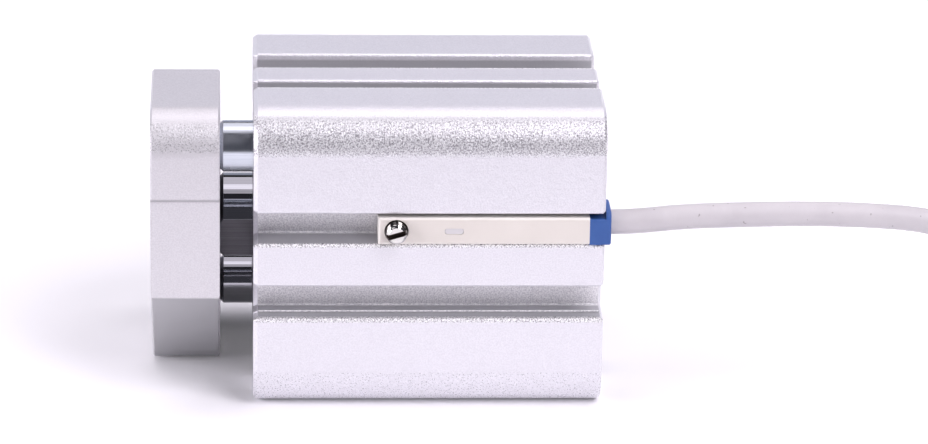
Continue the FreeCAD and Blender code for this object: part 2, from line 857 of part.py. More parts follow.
def make_clamp_screw():
    rim = "clamp_screw_d / 2"
    length = "clamp_stand + slot_depth - switch_sink - clamp_tip_gap"
    profile = [
        ("0", "0"),
        ("0", f"{rim} - clamp_chamfer"),
        ("clamp_chamfer", rim),
        (f"{length} - clamp_chamfer", rim),
        (length, f"{rim} - clamp_chamfer"),
        (length, "0"),
    ]
    body = new_body("clamp_screw")
    sketch = sketch_on(body, "XY_Plane")
    draw_outline(sketch, profile)
    revolve(body, sketch)
    sketch = sketch_on(body, "YZ_Plane")
    draw_box(sketch, "-clamp_screw_d", "-clamp_slot_width / 2", "clamp_screw_d", "clamp_slot_width / 2")
    pocket(body, sketch, "clamp_slot_depth", backwards=True)
    turn = Rotation(Vector(0, 0, 1), 90).multiply(Rotation(Vector(1, 0, 0), -value("clamp_tilt")))
    place_switch_piece(body, "clamp_screw", "clamp_start", "-clamp_stand", "switch_axis", turn)


# Cable: the free stretch, the coil of the rest, its ties and the two stripped cores
cable_route = [
    (29.8, -15.85, 22.56),
    (35.2, -15.86, 23.22),
    (42.0, -15.87, 23.44),
    (49.6, -15.9, 23.62),
    (57.4, -15.95, 23.42),
    (64.6, -16.08, 22.86),
    (72.6, -16.25, 20.0),
    (80.6, -16.5, 16.55),
    (88.4, -16.6, 13.85),
]
coil_centre_x = 95.0
coil_entry_y = -16.6
core_routes = {
    "brown_lead": [
        (0.0, -0.6, 0.0), (2.4, -0.6, 0.0), (5.1, 0.5, -0.45), (6.7, 3.2, -1.0),
        (6.7, 6.6, -1.35), (5.1, 9.6, -1.5), (2.5, 11.2, -1.55),
    ],
    "blue_lead": [
        (0.0, 0.62, 0.0), (1.7, 0.62, 0.0), (3.75, 1.5, -0.45), (5.05, 3.5, -0.95),
        (5.3, 6.1, -1.3), (4.3, 8.6, -1.5),
    ],
}
tie_angles = (30.0, 210.0)
bend_share = 0.45
volume_room = 0.01


def swept_tube(label, points, diameter):
    spots = [Vector(*point) for point in points]
    edges = []
    radii = []
    start = spots[0]
    for before, corner, after in zip(spots, spots[1:], spots[2:]):
        back = (before - corner).normalize()
        ahead = (after - corner).normalize()
        half_turn = (math.pi - back.getAngle(ahead)) / 2
        shorter = min(corner.distanceToPoint(before), corner.distanceToPoint(after))
        setback = bend_share * shorter
        radius = setback / math.tan(half_turn)
        inward = (back + ahead).normalize()
        bend_in = corner + back * setback
        bend_out = corner + ahead * setback
        crown = corner + inward * (radius / math.cos(half_turn) - radius)
        edges.append(Part.LineSegment(start, bend_in).toShape())
        edges.append(Part.Arc(bend_in, crown, bend_out).toShape())
        radii.append(radius)
        start = bend_out
    edges.append(Part.LineSegment(start, spots[-1]).toShape())
    path = Part.Wire(edges)
    section = Part.Wire([Part.makeCircle(diameter / 2, spots[0], spots[1] - spots[0])])
    solid = path.makePipeShell([section], True, True)
    expected = math.pi * diameter * diameter / 4 * path.Length
    if abs(solid.Volume / expected - 1) > volume_room:
        raise RuntimeError(f"{label}: swept volume is off")
    print(label, "length", round(path.Length, 1), "bend radii", [round(radius, 1) for radius in radii])
    piece = doc.addObject("Part::Feature", label)
    piece.Shape = solid
    piece.Label = label
    piece.Placement = FreeCAD.Placement()
    parts.append(piece)


def make_cable():
    cable = value("cable_d")
    columns = value("coil_columns")
    lift = "tie_thickness"
    coil_height = "coil_layers * cable_d"
    spread = "coil_columns * cable_d / 2"
    outer = f"coil_middle_d / 2 + {spread}"
    inner = f"coil_middle_d / 2 - {spread}"
    column_out = value("coil_middle_d") / 2 + (columns - 1) * cable / 2
    column_in = value("coil_middle_d") / 2 - (columns - 1) * cable / 2
    coil_centre_y = coil_entry_y + column_out
    top_layer = value(f"{lift} + {coil_height} - cable_d / 2")
    low_layer = value(f"{lift} + cable_d / 2")

    exit_x = value(f"{front} + switch_start + switch_length + boot_length")
    exit_y = value(f"{switch_face} + cable_exit_depth")
    exit_z = value(f"{axis} + {switch_floor} + cable_exit_height")
    swept_tube(
        "cable_lead",
        [(exit_x, exit_y, exit_z)] + cable_route + [(coil_centre_x, coil_entry_y, top_layer)],
        cable,
    )

    body = new_body("cable_coil")
    sketch = sketch_on(body, "XZ_Plane")
    draw_outline(sketch, [
        (inner, "coil_bevel"),
        (f"{inner} + coil_bevel", "0"),
        (f"{outer} - coil_bevel", "0"),
        (outer, "coil_bevel"),
        (outer, f"{coil_height} - coil_bevel"),
        (f"{outer} - coil_bevel", coil_height),
        (f"{inner} + coil_bevel", coil_height),
        (inner, f"{coil_height} - coil_bevel"),
    ])
    revolve(body, sketch, "V_Axis")
    sketch = sketch_on(body, "XY_Plane", coil_height)
    draw_box(sketch, f"-({outer})", f"-({outer}) - cut_margin", "0", f"-({outer}) + cable_d + notch_room")
    pocket(body, sketch, "cable_d + notch_room")
    sketch = sketch_on(body, "XY_Plane")
    draw_box(sketch, "-tail_notch_length", f"({inner}) / 2", "0", f"{inner} + cable_d + notch_room")
    pocket(body, sketch, "cable_d + notch_room", backwards=True)
    body.Label = "cable_coil"
    body.Placement = FreeCAD.Placement(Vector(coil_centre_x, coil_centre_y, 0), Rotation())
    bind(body, "Placement.Base.z", lift)
    parts.append(body)

    bands = []
    for angle in tie_angles:
        band = Part.makeBox(
            value(f"{outer} - ({inner})") + 2 * value("tie_room + tie_thickness"), value("tie_width"),
            value(coil_height) + 2 * value("tie_thickness"),
        )
        hollow = Part.makeBox(
            value(f"{outer} - ({inner})") + 2 * value("tie_room"), value("tie_width + 2 * cut_margin"),
            value(coil_height), Vector(value("tie_thickness"), -value("cut_margin"), value("tie_thickness")),
        )
        band = band.cut(hollow)
        band.translate(Vector(value(f"{inner} - tie_room - tie_thickness"), -value("tie_width") / 2, 0))
        band.rotate(Vector(), Vector(0, 0, 1), angle)
        bands.append(band)
    ties = doc.addObject("Part::Feature", "cable_ties")
    ties.Shape = Part.makeCompound(bands)
    ties.Label = "cable_ties"
    ties.Placement = FreeCAD.Placement(Vector(coil_centre_x, coil_centre_y, 0), Rotation())
    parts.append(ties)

    tail_y = coil_centre_y + column_in
    for label, route in core_routes.items():
        points = [(coil_centre_x - ahead, tail_y - aside, low_layer + rise) for ahead, aside, rise in route]
        swept_tube(label, points, value("core_d"))


make_cylinder_body()
make_rod_cover()
make_oring("rod_cover_oring", f"{cover_start} + oring_setback + oring_groove_width / 2")
make_retaining_ring("front_retaining_ring", "ring_recess + (ring_groove - ring_thickness)")
make_head_cover()
make_oring("head_cover_oring", f"{head_start} + head_cover_length - oring_setback - oring_groove_width / 2")
make_retaining_ring("rear_retaining_ring", "body_length - ring_recess - ring_groove")
make_bumper("front_bumper", f"{cover_start} + rod_cover_length")
make_bumper("rear_bumper", f"{head_start} - bumper_thickness")
make_guide_bushes()
make_piston()
make_rods()
make_tooling_plate()
make_cap_screws()
make_switch_housing()
make_switch_lens()
make_switch_boot()
make_sensor_board()
make_clamp_screw()
make_cable()
doc.recompute()

for item in doc.Objects:
    if "Invalid" in item.State or "Error" in item.State:
        raise RuntimeError(f"{item.Label} failed: {item.State}")
for part in parts:
    if part.Shape.isNull() or not part.Shape.isValid():
        raise RuntimeError(f"{part.Label} has no valid shape")

os.makedirs("parts", exist_ok=True)
for part in parts:
    part.Shape.exportStep(f"parts/{part.Label}.step")
print(len(parts), "parts written")
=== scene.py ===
import json
from math import cos, pi, radians, sin, tau

import bmesh
import bpy
from mathutils import Matrix, Vector


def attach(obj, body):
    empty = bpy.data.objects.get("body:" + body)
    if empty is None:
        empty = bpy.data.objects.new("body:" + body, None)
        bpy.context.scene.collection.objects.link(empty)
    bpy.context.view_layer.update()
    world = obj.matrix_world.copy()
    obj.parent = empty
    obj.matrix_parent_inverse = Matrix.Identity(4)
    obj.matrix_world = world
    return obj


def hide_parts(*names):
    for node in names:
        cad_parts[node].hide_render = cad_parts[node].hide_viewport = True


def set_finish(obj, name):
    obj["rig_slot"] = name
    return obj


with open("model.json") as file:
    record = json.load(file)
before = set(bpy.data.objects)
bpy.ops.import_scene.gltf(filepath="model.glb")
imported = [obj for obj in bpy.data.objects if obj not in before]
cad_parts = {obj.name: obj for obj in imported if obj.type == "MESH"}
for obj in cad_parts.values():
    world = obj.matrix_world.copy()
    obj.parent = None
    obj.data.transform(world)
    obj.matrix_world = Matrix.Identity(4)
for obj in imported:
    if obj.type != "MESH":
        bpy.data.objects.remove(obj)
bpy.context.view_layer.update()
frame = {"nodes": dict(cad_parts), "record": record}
nodes = frame["nodes"]
scene = bpy.context.scene
scene.view_settings.view_transform = "Standard"
axisHeight = 0.018  # of the cylinder's axis over the floor, half the body's side


def addObject(name, data):
    made = bpy.data.objects.new(name, data)
    scene.collection.objects.link(made)
    return made


# camera at the photograph's angle, aimed past the right end of the cylinder
cameraSettings = {
    "place": (-0.01668, -0.55624, 0.21043),
    "turnRight": 2.826,  # degrees away from looking along +Y
    "lookDown": 19.154,
    "roll": 0.976,
    "lens": 191.6,
    "sensor": 36.0,
}


def addCamera(s):
    data = bpy.data.cameras.new("camera")
    data.lens = s["lens"]
    data.sensor_width = s["sensor"]
    camera = addObject("camera", data)
    turn = Matrix.Rotation(-radians(s["turnRight"]), 4, "Z")
    tilt = Matrix.Rotation(radians(90 - s["lookDown"]), 4, "X")
    roll = Matrix.Rotation(radians(s["roll"]), 4, "Z")
    camera.matrix_world = Matrix.Translation(s["place"]) @ turn @ tilt @ roll
    scene.camera = camera


addCamera(cameraSettings)
print("camera set")


# cable: out of the boot, sagging to the coil of its unseen length
cableSettings = {
    "diameter": 0.0029,
    "length": 2.0,
    "sides": 6,
    "detail": 3,
    "exit": (0.027, -0.01585, 0.02256),
    "route": [
        (0.0298, -0.01585, 0.02256),
        (0.0352, -0.01586, 0.02322),
        (0.042, -0.01587, 0.02344),
        (0.0496, -0.0159, 0.02362),
        (0.0574, -0.01595, 0.02342),
        (0.0646, -0.01608, 0.02286),
        (0.0726, -0.01625, 0.02),
        (0.0806, -0.0165, 0.01655),
        (0.0884, -0.0166, 0.01385),
    ],
    "coilCentre": (0.095, 0.00375),
    "innerRadius": 0.01165,  # of the innermost turn's middle
    "columns": 4,
    "topLayer": 0.01385,
    "turns": 19.5,
    "pointsPerTurn": 24,
    "stepDown": (0.778, 0.861),  # share of a turn in which it sinks to the next layer
    "stepAcross": (0.861, 0.944),  # and in which it moves to the next column
}


def easedShare(value, start, end):
    share = min(1.0, max(0.0, (value - start) / (end - start)))
    return share * share * (3 - 2 * share)


def coilTurns(s):
    columns = s["columns"]
    points = []

    def seat(turn):
        layer, column = divmod(turn, columns)
        if layer % 2 == 0:
            column = columns - 1 - column
        return s["innerRadius"] + column * s["diameter"], s["topLayer"] - layer * s["diameter"]

    for step in range(round(s["turns"] * s["pointsPerTurn"]) + 1):
        turn, part = divmod(step, s["pointsPerTurn"])
        part /= s["pointsPerTurn"]
        radius, height = seat(turn)
        nextRadius, nextHeight = seat(turn + 1)
        if turn + 1 < s["turns"]:
            radius += (nextRadius - radius) * easedShare(part, *s["stepAcross"])
            height += (nextHeight - height) * easedShare(part, *s["stepDown"])
        angle = tau * part - pi / 2
        x, y = s["coilCentre"]
        points.append((x + radius * cos(angle), y + radius * sin(angle), height))
    return points


def addCurve(name, routes, diameter, sides, detail):
    data = bpy.data.curves.new(name, "CURVE")
    data.dimensions = "3D"
    data.bevel_depth = 1.0  # times each point's radius
    data.bevel_resolution = sides
    data.use_fill_caps = True
    data.resolution_u = detail
    for route in routes:
        spline = data.splines.new("NURBS")
        spline.points.add(len(route) - 1)
        for point, place in zip(spline.points, route):
            point.co = (*place, 1.0)
            point.radius = diameter / 2
        spline.order_u = 3
        spline.use_endpoint_u = True
    return addObject(name, data)


cablePoints = [cableSettings["exit"], *cableSettings["route"], *coilTurns(cableSettings)]
cable = addCurve(
    "cable", [cablePoints], cableSettings["diameter"], cableSettings["sides"], cableSettings["detail"]
)
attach(cable, "switch")
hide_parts("cable_lead", "cable_coil")
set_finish(cable, "cable_jacket")
print("cable laid with", len(cablePoints), "points")


# stripped cores at the cable's far end, each with a tinned tip
coreSettings = {
    "diameter": 0.0011,
    "sides": 5,
    "detail": 6,
    "start": (0.095, 0.0154, 0.00225),
    "strands": 7,
    "strandPoints": 9,
    "strandDiameter": 0.00024,
    "strandSides": 2,
    "strandDetail": 12,
    "twist": 0.6,  # turns along the bared tip
    "tipLength": 0.0036,
    "tipInside": 0.0006,
    "tipDiameter": 0.0005,
    "routes": {  # millimetres ahead, aside and up from the start
        "brown_lead": [
            (0.0, -0.6, 0.0), (2.4, -0.6, 0.0), (5.1, 0.5, -0.45), (6.7, 3.2, -1.0),
            (6.7, 6.6, -1.35), (5.1, 9.6, -1.5), (2.5, 11.2, -1.55),
        ],
        "blue_lead": [
            (0.0, 0.62, 0.0), (1.7, 0.62, 0.0), (3.75, 1.5, -0.45), (5.05, 3.5, -0.95),
            (5.3, 6.1, -1.3), (4.3, 8.6, -1.5),
        ],
    },
}


def corePoints(s, route):
    x, y, z = s["start"]
    return [Vector((x - ahead / 1000, y - aside / 1000, z + rise / 1000)) for ahead, aside, rise in route]


def addCores(s):
    made = []
    for node, route in s["routes"].items():
        name = node.replace("lead", "core")
        core = addCurve(name, [corePoints(s, route)], s["diameter"], s["sides"], s["detail"])
        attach(core, "switch")
        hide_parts(node)
        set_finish(core, "core_" + node.split("_")[0])
        made.append(core)
    return made


def addStrands(s):
    routes = []
    for route in s["routes"].values():
        before, end = corePoints(s, route[-2:])
        forward = (end - before).normalized()
        across = forward.cross(Vector((0, 0, 1))).normalized()
        upward = across.cross(forward)
        for strand in range(s["strands"]):
            points = []
            for step in range(s["strandPoints"]):
                share = step / (s["strandPoints"] - 1)
                angle = tau * (strand / s["strands"] + s["twist"] * share)
                swing = s["tipDiameter"] / 2 * (across * cos(angle) + upward * sin(angle))
                points.append(end + forward * (share * s["tipLength"] - s["tipInside"]) + swing)
            routes.append(points)
    strands = addCurve("strandTips", routes, s["strandDiameter"], s["strandSides"], s["strandDetail"])
    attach(strands, "switch")
    return strands


cores = addCores(coreSettings)
strands = addStrands(coreSettings)
print("cores laid")


# mesh helpers
def boxOf(piece):
    corners = [piece.matrix_world @ vertex.co for vertex in piece.data.vertices]
    low = Vector(min(corner[axis] for corner in corners) for axis in range(3))
    high = Vector(max(corner[axis] for corner in corners) for axis in range(3))
    return low, high


def meshFrom(name, shape):
    mesh = bpy.data.meshes.new(name)
    shape.to_mesh(mesh)
    shape.free()
    return mesh


def finishPiece(name, shape, body, slot, replaced=None, smoothBelow=40, weldWithin=1e-7):
    bmesh.ops.remove_doubles(shape, verts=shape.verts, dist=weldWithin)
    bmesh.ops.recalc_face_normals(shape, faces=shape.faces)
    for face in shape.faces:
        face.smooth = True
    for edge in shape.edges:
        edge.smooth = edge.calc_face_angle(pi) < radians(smoothBelow)
    piece = addObject(name, meshFrom(name, shape))
    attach(piece, body)
    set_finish(piece, slot)
    if replaced:
        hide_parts(replaced)
    return piece


def bevelledBox(shape, size, place, bevel, segments=2):
    made = bmesh.ops.create_cube(shape, size=1.0)["verts"]
    bmesh.ops.scale(shape, vec=size, verts=made)
    edges = list({edge for vertex in made for edge in vertex.link_edges})
    result = bmesh.ops.bevel(
        shape, geom=edges, offset=bevel, segments=segments, profile=0.5, affect="EDGES", material=-1
    )
    grown = list(set(result["verts"]) | {vertex for vertex in made if vertex.is_valid})
    bmesh.ops.transform(shape, matrix=place, verts=grown)


def joinRings(shape, rings):
    for ring, following in zip(rings, rings[1:]):
        for step in range(len(ring)):
            shape.faces.new((ring[step], ring[step - 1], following[step - 1], following[step]))


def threadWave(along, angle, pitch):
    phase = (along / pitch - angle / tau) % 1.0
    return abs(2 * phase - 1)


# cable ties round the coil, each with its head and cut tail
tieSettings = {
    "angles": (30.0, 210.0),
    "width": 0.003,
    "thickness": 0.0008,
    "radii": (0.0095, 0.0225),  # inside and outside of the coil, to the strap's middle
    "heights": (0.0004, 0.0157),
    "corner": 0.0016,
    "cornerSteps": 5,
    "headSize": (0.0044, 0.0046, 0.0030),
    "headBevel": 0.0004,
    "headAt": 0.0185,
    "tailLength": 0.005,
    "tailBevel": 0.0002,
}


def addTies(s):
    shape = bmesh.new()
    inner, outer = s["radii"]
    low, high = s["heights"]
    corner = s["corner"]
    centres = [(outer - corner, high - corner), (inner + corner, high - corner)]
    centres += [(inner + corner, low + corner), (outer - corner, low + corner)]
    loop = []
    for quarter, (reach, height) in enumerate(centres):
        for step in range(s["cornerSteps"] + 1):
            angle = pi / 2 * (quarter + step / s["cornerSteps"])
            loop.append((reach + corner * cos(angle), height + corner * sin(angle), angle))
    coilMiddle = Matrix.Translation((*cableSettings["coilCentre"], 0))
    headHeight = high + s["headSize"][2] / 2 - s["thickness"] / 2
    for degrees in s["angles"]:
        place = coilMiddle @ Matrix.Rotation(radians(degrees), 4, "Z")
        rings = []
        for reach, height, angle in loop:
            ring = []
            for side, depth in ((-1, -1), (1, -1), (1, 1), (-1, 1)):
                out = depth * s["thickness"] / 2
                spot = Vector((reach + out * cos(angle), side * s["width"] / 2, height + out * sin(angle)))
                ring.append(shape.verts.new(place @ spot))
            rings.append(ring)
        joinRings(shape, rings + rings[:1])
        head = place @ Matrix.Translation((s["headAt"], 0, headHeight))
        bevelledBox(shape, s["headSize"], head, s["headBevel"])
        tail = place @ Matrix.Translation((s["headAt"], 0, headHeight + s["tailLength"] / 2))
        bevelledBox(shape, (s["thickness"], s["width"], s["tailLength"]), tail, s["tailBevel"])
    return finishPiece("cableTies", shape, "switch", "tie_plastic", "cable_ties")


cableTies = addTies(tieSettings)
print("coil tied")


# clamp screw with a rolled thread, chamfered ends and a driver slot
screwSettings = {
    "proud": 0.0004,  # that it stands out further than its solid
    "pitch": 0.00045,
    "threadDepth": 0.00024,
    "steps": 64,
    "rowsPerPitch": 6,
    "chamfer": 0.00035,
    "smoothBelow": 28,
    "slotWidth": 0.00057,
    "slotDepth": 0.0009,
    "slotBevel": 0.0000475,
    "slotTilt": 16.5,
}


def addClampScrew(s):
    low, high = boxOf(nodes["clamp_screw"])
    low.y -= s["proud"]
    middle = (low + high) / 2
    radius = (high.x - low.x) / 2
    length = high.y - low.y
    rows = round(length / s["pitch"] * s["rowsPerPitch"])
    shape = bmesh.new()
    rings = []
    for row in range(rows + 1):
        along = length * row / rows
        limit = radius - max(0.0, s["chamfer"] - min(along, length - along))
        ring = []
        for step in range(s["steps"]):
            angle = tau * step / s["steps"]
            reach = min(limit, radius - s["threadDepth"] * threadWave(along, angle, s["pitch"]))
            spot = (middle.x + reach * cos(angle), low.y + along, middle.z + reach * sin(angle))
            ring.append(shape.verts.new(spot))
        rings.append(ring)
    joinRings(shape, rings)
    shape.faces.new(rings[0])
    shape.faces.new(rings[-1])
    screw = finishPiece("clampScrew", shape, "clamp", "clamp_nickel", "clamp_screw", s["smoothBelow"])

    knife = bmesh.new()
    turn = Matrix.Rotation(-radians(s["slotTilt"]), 4, "Y")
    place = Matrix.Translation((middle.x, low.y, middle.z)) @ turn
    bevelledBox(knife, (4 * radius, 2 * s["slotDepth"], s["slotWidth"]), place, s["slotBevel"], 1)
    knifeObject = addObject("knife", meshFrom("knife", knife))
    cut = screw.modifiers.new("slot", "BOOLEAN")
    cut.object = knifeObject
    cut.solver = "EXACT"
    evaluated = screw.evaluated_get(bpy.context.evaluated_depsgraph_get())
    cutMesh = bpy.data.meshes.new_from_object(evaluated)
    screw.modifiers.clear()
    screw.data = cutMesh
    bpy.data.objects.remove(knifeObject)
    return screw


clampScrew = addClampScrew(screwSettings)
print("clamp screw cut with", len(clampScrew.data.polygons), "faces")


# threads inside the two air ports and the plate's four tapped holes
threadSettings = {
    "steps": 40,
    "rowsPerPitch": 5,
    "ridge": 0.00022,
    "rootShare": 0.15,  # of the ridge, that the lowest part of the thread stands up
    "wallGap": 0.00001,
    "port": {"radius": 0.0021, "pitch": 0.0008, "length": 0.0048, "along": (-0.0023, 0.0202)},
    "tool": {"radius": 0.00165, "pitch": 0.0007, "circle": 0.0125, "count": 4},
}


def threadSleeve(shape, place, radius, pitch, length, s):
    rows = round(length / pitch * s["rowsPerPitch"])
    outer = radius - s["wallGap"]
    root = s["rootShare"]
    angles = [tau * step / s["steps"] for step in range(s["steps"])]
    rings = []

    def addRing(along, reaches):
        spots = [
            Vector((reach * cos(angle), reach * sin(angle), along)) for reach, angle in zip(reaches, angles)
        ]
        rings.append([shape.verts.new(place @ spot) for spot in spots])

    for row in range(rows + 1):
        along = length * row / rows
        crest = (1 - root) * min(1.0, along / pitch, (length - along) / pitch)
        waves = [threadWave(along, angle, pitch) for angle in angles]
        addRing(along, [outer - s["ridge"] * (root + crest * wave) for wave in waves])
    for along in (length, 0.0):
        addRing(along, [outer] * s["steps"])
    joinRings(shape, rings + rings[:1])


def addThreads(s):
    port = s["port"]
    bodyBack = boxOf(nodes["cylinder_body"])[1].y
    shape = bmesh.new()
    for along in port["along"]:
        spot = (along, bodyBack - s["ridge"], axisHeight)
        place = Matrix.Translation(spot) @ Matrix.Rotation(pi / 2, 4, "X")
        threadSleeve(shape, place, port["radius"], port["pitch"], port["length"], s)
    ports = finishPiece("portThreads", shape, "barrel", "body_anodised")

    tool = s["tool"]
    plateLow, plateHigh = boxOf(nodes["tooling_plate"])
    length = plateHigh.x - plateLow.x - 2 * s["ridge"]
    shape = bmesh.new()
    for count in range(tool["count"]):
        angle = tau * count / tool["count"]
        spot = (
            plateLow.x + s["ridge"],
            tool["circle"] * cos(angle),
            axisHeight + tool["circle"] * sin(angle),
        )
        place = Matrix.Translation(spot) @ Matrix.Rotation(pi / 2, 4, "Y")
        threadSleeve(shape, place, tool["radius"], tool["pitch"], length, s)
    tools = finishPiece("toolThreads", shape, "carriage", "plate_anodised")
    return [ports, tools]


threads = addThreads(threadSettings)
print("threads cut")


# burr lines along the slots' back corners and ledges, in a white finish that stands as painted glint lines
# there
beadSettings = {
    "radius": 0.0001,
    "sunk": 0.00003,  # of the line's middle into the corner
    "sides": 8,
    "smoothBelow": 60,
    "ends": (-0.0138, 0.0259),
    "switchEnd": -0.0003,  # where the line stops in front of the switch
    "faces": (0, 90, -90),  # turned round the axis: the front, the underside and the top
    "corners": [  # across the face from its middle, in from the face, and the way into the slot
        (0.00238, 0.0045, 1), (0.00604, 0.0045, -1), (0.00604, 0.0023, 0),
        (-0.00288, 0.0045, -1), (-0.00654, 0.0045, 1), (-0.00654, 0.0023, 0),
    ],
}


def addSlotBeads(s):
    shape = bmesh.new()
    lift = s["radius"] - s["sunk"]
    for turn in s["faces"]:
        around = Matrix.Rotation(radians(turn), 4, "X")
        for across, depth, inward in s["corners"]:
            start, end = s["ends"]
            if turn == 0 and 0 < across:
                end = s["switchEnd"]
            if inward:
                across += inward * lift
                depth -= lift
            spot = around @ Vector(((start + end) / 2, depth - axisHeight, across))
            place = Matrix.Translation(spot + Vector((0, 0, axisHeight))) @ Matrix.Rotation(pi / 2, 4, "Y")
            bmesh.ops.create_cone(
                shape, cap_ends=True, segments=s["sides"], radius1=s["radius"], radius2=s["radius"],
                depth=end - start, matrix=place,
            )
    return finishPiece("slotBeads", shape, "barrel", "body_anodised", smoothBelow=s["smoothBelow"])


slotBeads = addSlotBeads(beadSettings)
print("slot lines laid")


# shader helpers
def give(tree, socket, value):
    if isinstance(value, bpy.types.NodeSocket):
        tree.links.new(value, socket)
    elif socket.type == "RGBA":
        socket.default_value = (*value, 1)
    else:
        socket.default_value = value


def giveAll(tree, node, inputs):
    for label, value in inputs.items():
        give(tree, node.inputs[label.replace("_", " ")], value)


def addNode(tree, kind, settings=None, **inputs):
    node = tree.nodes.new("ShaderNode" + kind)
    for name, setting in (settings or {}).items():
        setattr(node, name, setting)
    giveAll(tree, node, inputs)
    return node


def calculate(tree, operation, *values):
    node = addNode(tree, "Math", {"operation": operation})
    for socket, value in zip(node.inputs, values):
        give(tree, socket, value)
    return node.outputs[0]


def vectorMath(tree, operation, *values):
    node = addNode(tree, "VectorMath", {"operation": operation})
    for socket, value in zip(node.inputs, values):
        give(tree, socket, value)
    return node.outputs["Value" if operation in ("DOT_PRODUCT", "LENGTH") else "Vector"]


def axesOf(tree, place):
    return addNode(tree, "SeparateXYZ", Vector=place).outputs


def fade(tree, value, start, end, way="LINEAR"):
    ramp = addNode(
        tree, "MapRange", {"interpolation_type": way}, Value=value, From_Min=start, From_Max=end
    )
    return ramp.outputs["Result"]


def mixColours(tree, mask, first, second):
    mix = addNode(tree, "Mix", {"data_type": "RGBA"}, Factor=mask)
    give(tree, mix.inputs[6], first)  # the colour sockets A, B and Result
    give(tree, mix.inputs[7], second)
    return mix.outputs[2]


def mixValues(tree, mask, first, second):
    mix = addNode(tree, "Mix", {"data_type": "FLOAT"}, Factor=mask)
    give(tree, mix.inputs[2], first)  # the value sockets A, B and Result
    give(tree, mix.inputs[3], second)
    return mix.outputs[0]


def startGroup(name, inputs, outputs):
    group = bpy.data.node_groups.new(name, "ShaderNodeTree")
    group.interface.new_socket("Vector", in_out="INPUT", socket_type="NodeSocketVector")
    for label in inputs:
        group.interface.new_socket(label, in_out="INPUT", socket_type="NodeSocketFloat")
    for label in outputs:
        group.interface.new_socket(label, in_out="OUTPUT", socket_type="NodeSocketFloat")
    return group, group.nodes.new("NodeGroupInput").outputs, group.nodes.new("NodeGroupOutput")


def useGroup(tree, group, place, **inputs):
    node = tree.nodes.new("ShaderNodeGroup")
    node.node_tree = group
    giveAll(tree, node, {"Vector": place, **inputs})
    return node.outputs


def startMaterial(name, **inputs):
    material = bpy.data.materials.new(name)
    material.use_nodes = True
    tree = material.node_tree
    shader = tree.nodes["Principled BSDF"]
    giveAll(tree, shader, inputs)
    return material, tree, shader, addNode(tree, "TexCoord").outputs["Object"]


def coat(tree, shader, colour, rough, height, depth):
    bump = addNode(tree, "Bump", Strength=1.0, Distance=depth, Height=height)
    giveAll(tree, shader, {"Base Color": colour, "Roughness": rough, "Normal": bump.outputs["Normal"]})


# blasted surface: fine pits on coarser patches, and a sharper mask of the pits alone
grainSettings = {
    "detail": 2.0,
    "roughness": 0.65,
    "patchScale": 0.37,  # of the pits' own
    "patchDetail": 1.0,
    "patchShare": 0.6,
    "speckle": (0.38, 0.62),
}


def makeBlastGrain(s):
    group, given, out = startGroup("blastGrain", ["Pits per Metre"], ["Height", "Speckle"])
    place = given["Vector"]
    scale = given["Pits per Metre"]
    pits = addNode(
        group, "TexNoise", Vector=place, Scale=scale, Detail=s["detail"], Roughness=s["roughness"]
    ).outputs["Fac"]
    patchScale = calculate(group, "MULTIPLY", scale, s["patchScale"])
    patches = addNode(group, "TexNoise", Vector=place, Scale=patchScale, Detail=s["patchDetail"])
    height = calculate(group, "MULTIPLY_ADD", patches.outputs["Fac"], s["patchShare"], pits)
    giveAll(group, out, {"Height": height, "Speckle": fade(group, pits, *s["speckle"])})
    return group


# parts of the extrusion that catch the light in their own way, each fading in between two measures; the
# slots' walls and the upper rounded corners are painted darker there: painted shade
zoneSettings = {
    "corner": (0.0129, 0.0137),  # of the rounded corners, out from the axis both ways
    "sideways": (-0.0023, 0.0002),  # how much further out from the axis sideways than upwards
    "ends": ((-0.01395, -0.0138), (0.02605, 0.0259)),  # next to the slots' chamfered ends
    "skin": (0.01745, 0.0171),  # out from the axis, where the slots leave the outer faces
    "back": (0.0140, 0.0137),  # out from the axis, at the slots' back walls
    "slotShift": 0.00025,  # of a pair of slots from the face's middle
    "slotOffset": 0.00452,
    "slotHalf": 0.00189,
    "lip": (0.00055, 0.0003),
}


def makeEdgeZones(s):
    group, given, out = startGroup("edgeZones", [], ["Corners", "Feet", "Walls", "Backs", "Lips"])

    def maths(operation, *values):
        return calculate(group, operation, *values)

    def ease(value, ends):
        return fade(group, value, *ends, "SMOOTHSTEP")

    axes = axesOf(group, given["Vector"])
    across = axes["Y"]
    up = maths("SUBTRACT", axes["Z"], axisHeight)
    wide = maths("ABSOLUTE", across)
    tall = maths("ABSOLUTE", up)
    most = maths("MAXIMUM", wide, tall)
    corners = ease(maths("MINIMUM", wide, tall), s["corner"])
    above = maths("GREATER_THAN", up, 0.0)
    sideways = ease(maths("SUBTRACT", wide, tall), s["sideways"])
    inside = maths("MULTIPLY", *(ease(axes["X"], end) for end in s["ends"]))
    upright = maths("GREATER_THAN", tall, wide)  # on the top and bottom faces
    onTop = maths("MULTIPLY", upright, maths("MULTIPLY", across, maths("SIGN", up)))
    onSides = maths("MULTIPLY", maths("SUBTRACT", 1.0, upright), up)
    shift = s["slotShift"] + s["slotHalf"]
    reach = maths("ABSOLUTE", maths("ADD", maths("ADD", onTop, onSides), shift))
    fromLip = maths("ABSOLUTE", maths("SUBTRACT", reach, s["slotOffset"]))  # the lower one of each slot
    outside = ease(most, s["skin"][::-1])
    giveAll(group, out, {
        "Corners": maths("MULTIPLY", corners, maths("MULTIPLY", above, sideways)),
        "Feet": maths("MULTIPLY", corners, maths("SUBTRACT", 1.0, above)),
        "Walls": maths("MULTIPLY", ease(most, s["skin"]), inside),
        "Backs": maths("MULTIPLY", ease(most, s["back"]), inside),
        "Lips": maths("MULTIPLY", ease(fromLip, s["lip"]), outside),
    })
    return group


